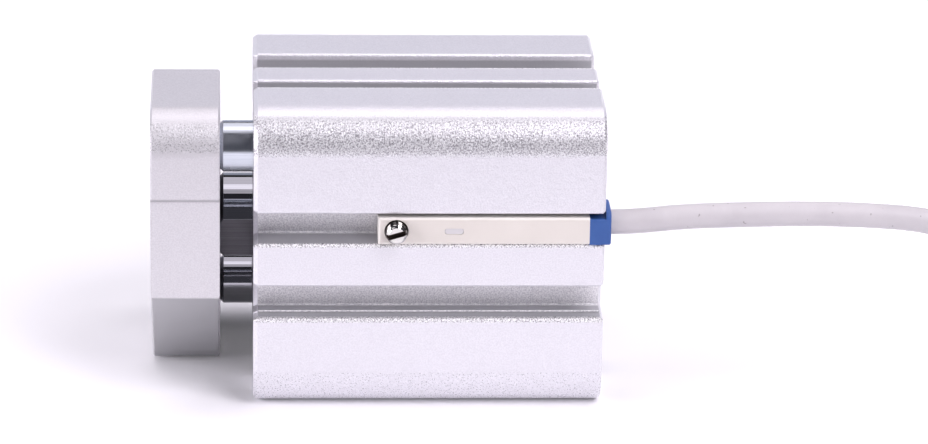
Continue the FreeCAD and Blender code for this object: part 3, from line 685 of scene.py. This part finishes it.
# lines along X that drawing or turning leaves
lineSettings = {
    "stretch": (0.012, 1.0, 1.0),
    "detail": 3.0,
    "roughness": 0.7,
    "tone": (0.3, 0.7),
}


def makeDrawnLines(s):
    group, given, out = startGroup("drawnLines", ["Lines per Metre"], ["Height", "Tone"])
    stretched = addNode(group, "Mapping", Vector=given["Vector"], Scale=s["stretch"])
    lines = addNode(
        group, "TexNoise", Vector=stretched.outputs["Vector"], Scale=given["Lines per Metre"],
        Detail=s["detail"], Roughness=s["roughness"],
    ).outputs["Fac"]
    giveAll(group, out, {"Height": lines, "Tone": fade(group, lines, *s["tone"])})
    return group


# cloudy marks of handling
markSettings = {
    "detail": 4.0,
    "roughness": 0.6,
    "distortion": 0.4,
    "mask": (0.3, 0.7),
    "onMetal": 140.0,  # marks per metre
    "onPlastic": 180.0,
    "onBurrs": 90.0,
}


def makeHandling(s):
    group, given, out = startGroup("handlingMarks", ["Marks per Metre"], ["Mask"])
    clouds = addNode(
        group, "TexNoise", Vector=given["Vector"], Scale=given["Marks per Metre"],
        Detail=s["detail"], Roughness=s["roughness"], Distortion=s["distortion"],
    )
    giveAll(group, out, {"Mask": fade(group, clouds.outputs["Fac"], *s["mask"])})
    return group


blastGrain = makeBlastGrain(grainSettings)
edgeZones = makeEdgeZones(zoneSettings)
drawnLines = makeDrawnLines(lineSettings)
handling = makeHandling(markSettings)


# blasted finishes: colour and roughness at the grain's lows and highs, and the gain of its relief
bodySettings = {
    "name": "bodyAnodise",
    "metallic": 0.5,
    "pits": 5400.0,
    "depth": 0.00005,
    "face": {"colours": ((0.84, 0.83, 0.87), (0.76, 0.75, 0.79)), "rough": (0.39, 0.28), "relief": 0.85},
    "zones": {
        # the slots' side walls, painted much darker than the faces: painted shade inside the slots
        "Walls": {
            "colours": ((0.50, 0.50, 0.52), (0.48, 0.48, 0.50)), "rough": (0.40, 0.36), "relief": 0.05,
        },
        "Backs": {
            "colours": ((0.70, 0.69, 0.72), (1.0, 0.99, 1.0)), "rough": (0.46, 0.34), "relief": 0.7,
        },
        # the upper rounded corners, darker on average than the faces, bright pits among dark ridges:
        # painted shade of the dark band along the rounding, over the grain
        "Corners": {
            "colours": ((0.89, 0.89, 0.90), (0.44, 0.43, 0.46)), "rough": (0.46, 0.22), "relief": 0.9,
        },
        "Feet": {
            "colours": ((0.84, 0.83, 0.87), (0.70, 0.69, 0.73)), "rough": (0.42, 0.27), "relief": 0.9,
        },
        "Lips": {
            "colours": ((1.0, 1.0, 1.0), (0.52, 0.51, 0.53)), "rough": (0.45, 0.20), "relief": 2.6,
        },
    },
}
plateSettings = {
    "name": "plateAnodise",
    "metallic": 0.4,
    "pits": 5600.0,
    "depth": 0.00004,
    "face": {"colours": ((0.64, 0.625, 0.65), (0.71, 0.695, 0.72)), "rough": (0.36, 0.29), "relief": 0.6},
    "zones": {
        "Corners": {
            "colours": ((0.76, 0.75, 0.77), (0.60, 0.59, 0.61)), "rough": (0.42, 0.27), "relief": 1.05,
        },
    },
    "stepHeight": 0.0256,
    "stepLine": (0.0003, 0.00005),  # up and down from the step, where its shade begins and is full
    "stepFront": (-0.0171, -0.0173),
    "stepShade": (0.44, 0.43, 0.45),
    "cutAngle": 50.9,  # of the two cut corners' outward direction, up from +Y
    "cut": (0.01425, 0.01436),  # out from the axis, at their milled faces
    # colour of the cut corners, far darker than the rest of the plate: painted shade
    "cutPaintedShade": (0.45, 0.45, 0.465),
    "cutRough": 0.34,
    "cutLevel": 0.48,  # of the relief, so that they are smooth
}
burrGlintSettings = {
    "name": "slotBurrGlint",
    "pits": 2600.0,
    "depth": 0.00008,
    # white grains, lighter than the body: painted glints along the burr lines
    "colours": ((0.70, 0.70, 0.72), (1.0, 1.0, 1.0)),
    "rough": (0.30, 0.40),  # where clean and where handled
}


def zonedLook(tree, place, s):
    grain = useGroup(tree, blastGrain, place, Pits_per_Metre=s["pits"])
    masks = useGroup(tree, edgeZones, place)
    speckle = grain["Speckle"]
    colour = mixColours(tree, speckle, *s["face"]["colours"])
    rough = mixValues(tree, speckle, *s["face"]["rough"])
    gain = s["face"]["relief"]
    for zone, look in s["zones"].items():
        mask = masks[zone]
        colour = mixColours(tree, mask, colour, mixColours(tree, speckle, *look["colours"]))
        rough = mixValues(tree, mask, rough, mixValues(tree, speckle, *look["rough"]))
        gain = mixValues(tree, mask, gain, look["relief"])
    return colour, rough, calculate(tree, "MULTIPLY", grain["Height"], gain)


def speckledExtrusion(s):
    material, tree, shader, place = startMaterial(s["name"], Metallic=s["metallic"])
    coat(tree, shader, *zonedLook(tree, place, s), s["depth"])
    return material


def steppedAnodise(s):
    material, tree, shader, place = startMaterial(s["name"], Metallic=s["metallic"])
    colour, rough, relief = zonedLook(tree, place, s)
    axes = axesOf(tree, place)
    fromStep = calculate(tree, "ABSOLUTE", calculate(tree, "SUBTRACT", axes["Z"], s["stepHeight"]))
    front = fade(tree, axes["Y"], *s["stepFront"])
    line = calculate(tree, "MULTIPLY", fade(tree, fromStep, *s["stepLine"]), front)
    angle = radians(s["cutAngle"])
    centred = vectorMath(tree, "SUBTRACT", place, (0, 0, axisHeight))
    outward = vectorMath(tree, "DOT_PRODUCT", centred, (0, cos(angle), sin(angle)))
    cut = fade(tree, calculate(tree, "ABSOLUTE", outward), *s["cut"])
    colour = mixColours(tree, line, colour, s["stepShade"])
    # the cut corners painted darker: painted shade
    colour = mixColours(tree, cut, colour, s["cutPaintedShade"])
    rough = mixValues(tree, cut, rough, s["cutRough"])
    coat(tree, shader, colour, rough, mixValues(tree, cut, relief, s["cutLevel"]), s["depth"])
    return material


def blastedBurrGlint(s):
    material, tree, shader, place = startMaterial(s["name"])
    grain = useGroup(tree, blastGrain, place, Pits_per_Metre=s["pits"])
    marks = useGroup(tree, handling, place, Marks_per_Metre=markSettings["onBurrs"])
    colour = mixColours(tree, grain["Speckle"], *s["colours"])
    rough = mixValues(tree, marks["Mask"], *s["rough"])
    coat(tree, shader, colour, rough, grain["Height"], s["depth"])
    return material


# bright and dark metals: colours at the lines' lows and highs, roughness where clean and where handled
metalSettings = {
    "cover_alloy": {
        "name": "coverAlloy", "colours": ((0.62, 0.62, 0.64), (0.78, 0.78, 0.80)),
        "rough": (0.26, 0.36), "lines": 9000.0, "depth": 0.000004,
    },
    "bronze": {
        "name": "sinteredBronze", "colours": ((0.34, 0.22, 0.10), (0.52, 0.36, 0.18)),
        "rough": (0.40, 0.55), "lines": 6000.0, "depth": 0.000006,
    },
    "ring_steel": {
        "name": "ringSteel", "colours": ((0.12, 0.12, 0.13), (0.22, 0.22, 0.23)),
        "rough": (0.32, 0.45), "lines": 7000.0, "depth": 0.000005,
    },
    # chrome darkened well below its own colour: painted shade for the rods that sit in the gap between
    # plate and body
    "rod_chrome": {
        "name": "rodChrome", "colours": ((0.33, 0.33, 0.36), (0.39, 0.39, 0.42)),
        "rough": (0.03, 0.06), "lines": 5200.0, "depth": 0.0000004,
    },
    "screw_steel": {
        "name": "screwSteel", "colours": ((0.035, 0.035, 0.038), (0.08, 0.08, 0.085)),
        "rough": (0.34, 0.46), "lines": 6000.0, "depth": 0.000006,
    },
}
# a lighter, bluish copy of the rods' chrome for the upper guide rod: painted light and reflection
upperRodLitChromeSettings = {
    "name": "rodChromePaintedLight", "colours": ((0.52, 0.56, 0.62), (0.68, 0.71, 0.77)),
    "rough": (0.12, 0.38), "lines": 5200.0, "depth": 0.000002,
}
tinSettings = {
    "name": "tinnedCopper", "colours": ((0.62, 0.60, 0.56), (0.78, 0.76, 0.72)),
    "rough": (0.22, 0.34), "lines": 5000.0, "depth": 0.000003,
}
rodSettings = {
    "name": "rodChromeFlats",
    "lines": 5200.0,
    "depth": 0.0000004,
    "flat": (0.00498, 0.00495),  # from the axis: chrome outside, milled steel inside
    # the piston rod's chrome, also darkened below its own colour: painted shade
    "chrome": ((0.35, 0.35, 0.38), (0.41, 0.41, 0.44)),
    # the flats' milled steel, far darker than bare steel: painted shade
    "steel": ((0.14, 0.135, 0.15), (0.18, 0.175, 0.19)),
    "rough": (0.04, 0.24),
}
nickelSettings = {
    "name": "clampNickel",
    "lines": 6000.0,
    "depth": 0.000002,
    "edge": 0.00002,
    "nickel": ((0.60, 0.59, 0.57), (0.74, 0.73, 0.70)),
    # colour of the thread, far darker than the nickel: painted shade where it runs into the hole
    "thread": (0.20, 0.19, 0.18),
    # colour inside the driver slot, near-black: painted shade
    "slotShade": (0.075, 0.06, 0.05),
    "rough": (0.12, 0.55),
}


def startMetal(s):
    material, tree, shader, place = startMaterial(s["name"], Metallic=1.0)
    return material, tree, shader, place, useGroup(tree, drawnLines, place, Lines_per_Metre=s["lines"])


def plainMetal(s):
    material, tree, shader, place, drawn = startMetal(s)
    marks = useGroup(tree, handling, place, Marks_per_Metre=markSettings["onMetal"])
    colour = mixColours(tree, drawn["Tone"], *s["colours"])
    rough = mixValues(tree, marks["Mask"], *s["rough"])
    coat(tree, shader, colour, rough, drawn["Height"], s["depth"])
    return material


def flattedRod(s):
    material, tree, shader, place, drawn = startMetal(s)
    centred = vectorMath(tree, "SUBTRACT", place, (0, 0, axisHeight))
    radius = vectorMath(tree, "LENGTH", vectorMath(tree, "MULTIPLY", centred, (0, 1, 1)))
    milled = fade(tree, radius, *s["flat"])
    chrome = mixColours(tree, drawn["Tone"], *s["chrome"])
    # milled steel of the flats, darkened: painted shade
    steel = mixColours(tree, drawn["Tone"], *s["steel"])
    colour = mixColours(tree, milled, chrome, steel)
    coat(tree, shader, colour, mixValues(tree, milled, *s["rough"]), drawn["Height"], s["depth"])
    return material


def slottedNickel(s, screw, cut):
    material, tree, shader, place, drawn = startMetal(s)
    front, back = boxOf(screw)
    middle = (front + back) / 2
    across = Matrix.Rotation(-radians(cut["slotTilt"]), 3, "Y") @ Vector((0, 0, 1))
    centred = vectorMath(tree, "SUBTRACT", place, (middle.x, front.y, middle.z))
    aside = calculate(tree, "ABSOLUTE", vectorMath(tree, "DOT_PRODUCT", centred, across))
    inward = axesOf(tree, centred)["Y"]
    edge = s["edge"]
    wall = cut["slotWidth"] / 2 + edge
    floor = cut["slotDepth"] + edge
    between = fade(tree, aside, wall + edge, wall)
    inSlot = calculate(tree, "MULTIPLY", between, fade(tree, inward, floor + edge, floor))
    onThread = fade(tree, inward, cut["chamfer"], cut["chamfer"] + edge)
    nickel = mixColours(tree, drawn["Tone"], *s["nickel"])
    # the thread painted darker: painted shade
    nickel = mixColours(tree, onThread, nickel, s["thread"])
    # the driver slot painted near-black: painted shade
    colour = mixColours(tree, inSlot, nickel, s["slotShade"])
    coat(tree, shader, colour, mixValues(tree, inSlot, *s["rough"]), drawn["Height"], s["depth"])
    return material


# plastics and rubbers: colour and roughness where clean and where handled
mouldedSettings = {
    "seal_rubber": {
        "name": "sealRubber", "colours": ((0.014, 0.014, 0.015), (0.03, 0.03, 0.032)),
        "rough": (0.42, 0.55), "grain": 5000.0, "depth": 0.000006,
    },
    "bumper_rubber": {
        "name": "bumperRubber", "colours": ((0.42, 0.26, 0.07), (0.50, 0.33, 0.10)),
        "rough": (0.35, 0.5), "grain": 4000.0, "depth": 0.000005,
    },
    "magnet": {
        "name": "bondedMagnet", "colours": ((0.03, 0.03, 0.033), (0.06, 0.06, 0.064)),
        "rough": (0.5, 0.65), "grain": 6000.0, "depth": 0.000008,
    },
    "wear_plastic": {
        "name": "wearPlastic", "colours": ((0.26, 0.17, 0.08), (0.33, 0.23, 0.12)),
        "rough": (0.4, 0.5), "grain": 5000.0, "depth": 0.000005,
    },
    "boot_blue": {
        "name": "bootBlue", "colours": ((0.026, 0.09, 0.31), (0.040, 0.118, 0.375)),
        "rough": (0.36, 0.48), "grain": 4200.0, "depth": 0.000006,
    },
    "lens_clear": {
        "name": "lensClear", "colours": ((0.66, 0.64, 0.65), (0.71, 0.69, 0.70)),
        "rough": (0.10, 0.18), "grain": 4000.0, "depth": 0.000002,
    },
    "board": {
        "name": "circuitBoard", "colours": ((0.01, 0.10, 0.04), (0.02, 0.16, 0.06)),
        "rough": (0.3, 0.4), "grain": 4000.0, "depth": 0.000004,
    },
    "tie_plastic": {
        "name": "tieNylon", "colours": ((0.012, 0.012, 0.013), (0.022, 0.022, 0.024)),
        "rough": (0.35, 0.5), "grain": 5000.0, "depth": 0.000004,
    },
    "core_brown": {
        "name": "coreBrown", "colours": ((0.11, 0.045, 0.02), (0.16, 0.07, 0.03)),
        "rough": (0.3, 0.4), "grain": 4000.0, "depth": 0.000004,
    },
    "core_blue": {
        "name": "coreBlue", "colours": ((0.02, 0.09, 0.36), (0.035, 0.13, 0.44)),
        "rough": (0.3, 0.4), "grain": 4000.0, "depth": 0.000004,
    },
}
creamSettings = {
    "name": "switchCream", "colours": ((0.73, 0.685, 0.63), (0.77, 0.725, 0.67)),
    "rough": (0.34, 0.44), "grain": 5200.0, "depth": 0.000004,
    "edge": (0.0003, 0.0001),  # in from the edges, where the painted highlight begins and where it is full
    "over": (0.93, 0.90, 0.84),  # colour of the painted highlight on the edges
}
jacketSettings = {
    "name": "cableJacket", "colours": ((0.545, 0.52, 0.54), (0.61, 0.585, 0.60)),
    "rough": (0.42, 0.55), "grain": 3600.0, "depth": 0.000008,
    "specks": 2300.0,
    "dirt": (0.815, 0.85),
    "over": (0.36, 0.34, 0.34),  # colour of the dirt
}


# painted highlight along the housing's left, lower and upper edges
def paintedEdgeHighlight(tree, place, s):
    low, high = boxOf(nodes["switch_housing"])
    axes = axesOf(tree, place)
    edgeHighlight = 0.0
    for axis, edge, inward in (("X", low.x, 1), ("Z", low.z, 1), ("Z", high.z, -1)):
        ends = [edge + inward * width for width in s["edge"]]
        edgeHighlight = calculate(tree, "MAXIMUM", edgeHighlight, fade(tree, axes[axis], *ends))
    return edgeHighlight


def dirtSpecks(tree, place, s):
    specks = addNode(tree, "TexNoise", Vector=place, Scale=s["specks"], Detail=0.0)
    return fade(tree, specks.outputs["Fac"], *s["dirt"])


def moulded(s, overMask=None):
    material, tree, shader, place = startMaterial(s["name"])
    marks = useGroup(tree, handling, place, Marks_per_Metre=markSettings["onPlastic"])
    grain = useGroup(tree, blastGrain, place, Pits_per_Metre=s["grain"])
    colour = mixColours(tree, marks["Mask"], *s["colours"])
    if overMask:
        colour = mixColours(tree, overMask(tree, place, s), colour, s["over"])
    rough = mixValues(tree, marks["Mask"], *s["rough"])
    coat(tree, shader, colour, rough, grain["Height"], s["depth"])
    return material


# every slot's finish, and the pieces that have one of their own
finishes = {
    "body_anodised": speckledExtrusion(bodySettings),
    "plate_anodised": steppedAnodise(plateSettings),
    "clamp_nickel": slottedNickel(nickelSettings, clampScrew, screwSettings),
    "switch_plastic": moulded(creamSettings, paintedEdgeHighlight),
    "cable_jacket": moulded(jacketSettings, dirtSpecks),
}
for slot, settings in metalSettings.items():
    finishes[slot] = plainMetal(settings)
for slot, settings in mouldedSettings.items():
    finishes[slot] = moulded(settings)


def dress(piece, material):
    piece.data.materials.clear()
    piece.data.materials.append(material)


for part in frame["record"]["subparts"]:
    dress(nodes[part["node"]], finishes[part["material_slot"]])
dress(nodes["piston_rod"], flattedRod(rodSettings))
# the upper guide rod takes the lighter copy of the chrome: painted light
dress(nodes["upper_guide_rod"], plainMetal(upperRodLitChromeSettings))
for piece in (cable, *cores, cableTies, clampScrew, *threads):
    dress(piece, finishes[piece["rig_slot"]])
dress(slotBeads, blastedBurrGlint(burrGlintSettings))
dress(strands, plainMetal(tinSettings))
print("finishes on", len(finishes), "slots")


# floor, backdrop colour and lamps
stageSettings = {
    "floorSize": 6.0,
    "floorFront": -0.18,
    "floorColour": (0.96, 0.955, 0.975),
    "floorRough": 0.9,
    "floorGlow": 0.06,
    "paintedLightStrip": ((0.050, 0.062), (0.076, 0.070)),  # along X, where the floor glows more: painted light over the coil's cast shadow
    "paintedLightGlow": 0.4,
    "far": (0.15, 0.40),  # from the middle, where the floor begins to whiten and is white
    "farGlow": 0.9,
    "skyBands": [  # degrees up from the front horizon, over the top, and the colour there
        (0, (0.08, 0.08, 0.095)),
        (40, (0.08, 0.08, 0.095)),
        (62, (0.04, 0.04, 0.05)),
        (150, (0.02, 0.02, 0.02)),
        (158, (0.54, 0.56, 0.67)),
        (180, (0.54, 0.56, 0.67)),
    ],
    "white": (1.0, 1.0, 1.0),
    "lampColour": (0.98, 0.935, 1.0),
    "lamps": {
        "overhead": {"place": (0.0, 0.23, 0.50), "size": (1.1, 0.50), "power": 2.1},
        "overFront": {"place": (0.0, 0.02, 0.55), "size": (1.1, 0.30), "power": 0.9},
        "right": {"place": (0.30, -0.36, 0.46), "size": (0.3, 0.5), "power": 3.2},
        "lowLeft": {"place": (-0.62, -0.25, 0.22), "size": (0.4, 0.4), "power": 2.85},
    },
}


def seenDirectly(tree):
    ray = addNode(tree, "LightPath").outputs
    seen = calculate(tree, "MAXIMUM", ray["Is Camera Ray"], ray["Is Glossy Ray"])
    return calculate(tree, "MAXIMUM", seen, ray["Is Transmission Ray"])


def addFloor(s):
    shape = bmesh.new()
    bmesh.ops.create_grid(shape, x_segments=1, y_segments=1, size=s["floorSize"] / 2)
    bmesh.ops.translate(shape, vec=(0, s["floorFront"] + s["floorSize"] / 2, 0), verts=shape.verts)
    floor = addObject("floor", meshFrom("floor", shape))
    material, tree, shader, place = startMaterial(
        "floorWhite", Base_Color=s["floorColour"], Roughness=s["floorRough"],
        Specular_IOR_Level=0.0, Emission_Color=s["white"],
    )
    along = axesOf(tree, place)["X"]
    # a strip of painted light on the floor, over the coil's shadow
    stripEnds = [fade(tree, along, *ends, "SMOOTHSTEP") for ends in s["paintedLightStrip"]]
    strip = calculate(tree, "MULTIPLY", *stripEnds)
    far = fade(tree, vectorMath(tree, "LENGTH", place), *s["far"], "SMOOTHSTEP")
    glow = mixValues(tree, strip, s["floorGlow"], s["paintedLightGlow"])
    glow = mixValues(tree, far, glow, s["farGlow"])
    giveAll(tree, shader, {"Emission Strength": calculate(tree, "MULTIPLY", glow, seenDirectly(tree))})
    dress(floor, material)


def addSky(s):
    world = bpy.data.worlds.new("studio")
    scene.world = world
    world.use_nodes = True
    tree = world.node_tree
    direction = addNode(tree, "TexCoord").outputs["Generated"]
    sideOn = vectorMath(tree, "NORMALIZE", vectorMath(tree, "MULTIPLY", direction, (0, 1, 1)))
    bands = addNode(tree, "ValToRGB", Fac=fade(tree, axesOf(tree, sideOn)["Y"], -1.0, 1.0))
    stops = bands.color_ramp.elements
    for count, (degrees, colour) in enumerate(s["skyBands"]):
        place = (1 - cos(radians(degrees))) / 2
        stop = stops[count] if count < 2 else stops.new(place)  # a new ramp has two
        stop.position = place
        stop.color = (*colour, 1)
    cameraRay = addNode(tree, "LightPath").outputs["Is Camera Ray"]
    shown = mixColours(tree, cameraRay, bands.outputs["Color"], s["white"])
    giveAll(tree, tree.nodes["Background"], {"Color": shown})


def addLamps(s):
    for name, lampSettings in s["lamps"].items():
        data = bpy.data.lights.new(name, "AREA")
        data.shape = "RECTANGLE"
        data.size, data.size_y = lampSettings["size"]
        data.energy = lampSettings["power"]
        data.color = s["lampColour"]
        lamp = addObject(name, data)
        lamp.location = lampSettings["place"]
        lamp.rotation_euler = (-Vector(lampSettings["place"])).to_track_quat("-Z", "Y").to_euler()


addFloor(stageSettings)
addSky(stageSettings)
addLamps(stageSettings)
print("stage lit")
